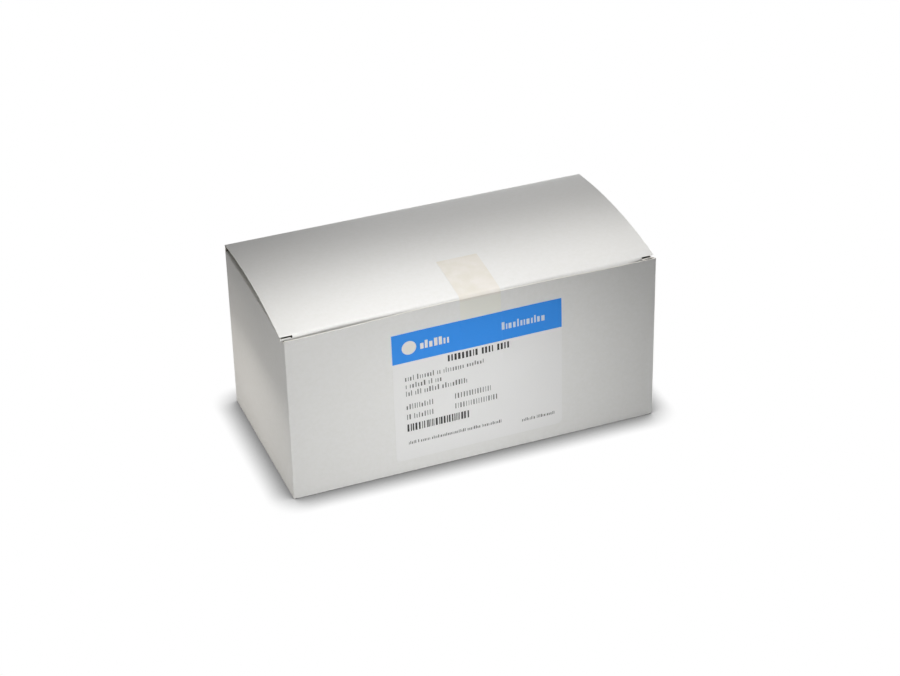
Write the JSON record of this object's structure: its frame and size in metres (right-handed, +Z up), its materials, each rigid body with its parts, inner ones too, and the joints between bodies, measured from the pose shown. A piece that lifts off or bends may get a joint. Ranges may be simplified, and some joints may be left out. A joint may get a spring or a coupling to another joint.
{
  "type": "sealed carton of folded filter papers",
  "caption": "Tuck-top folding carton of filter papers, full and sealed: arched lid, slit locks, snap-lock base, a tape seal and a plain printed label.",
  "frame": {"origin": "centre of the whole object's box, on the surface that the carton stands on", "axes": "+X to the right along the long front panel, +Y from the front panel to the back, +Z up through the lid"},
  "size_m": [0.2278, 0.1118, 0.1136],
  "materials": {
    "boxboard": "white coated folding boxboard, matt",
    "tape": "cream translucent packing tape, satin",
    "label_paper": "white self-adhesive paper, matt, with a blue printed band"
  },
  "bodies": {
    "root": {"carton": "boxboard", "closure_tape": "tape", "label": "label_paper"}
  },
  "joints": []
}
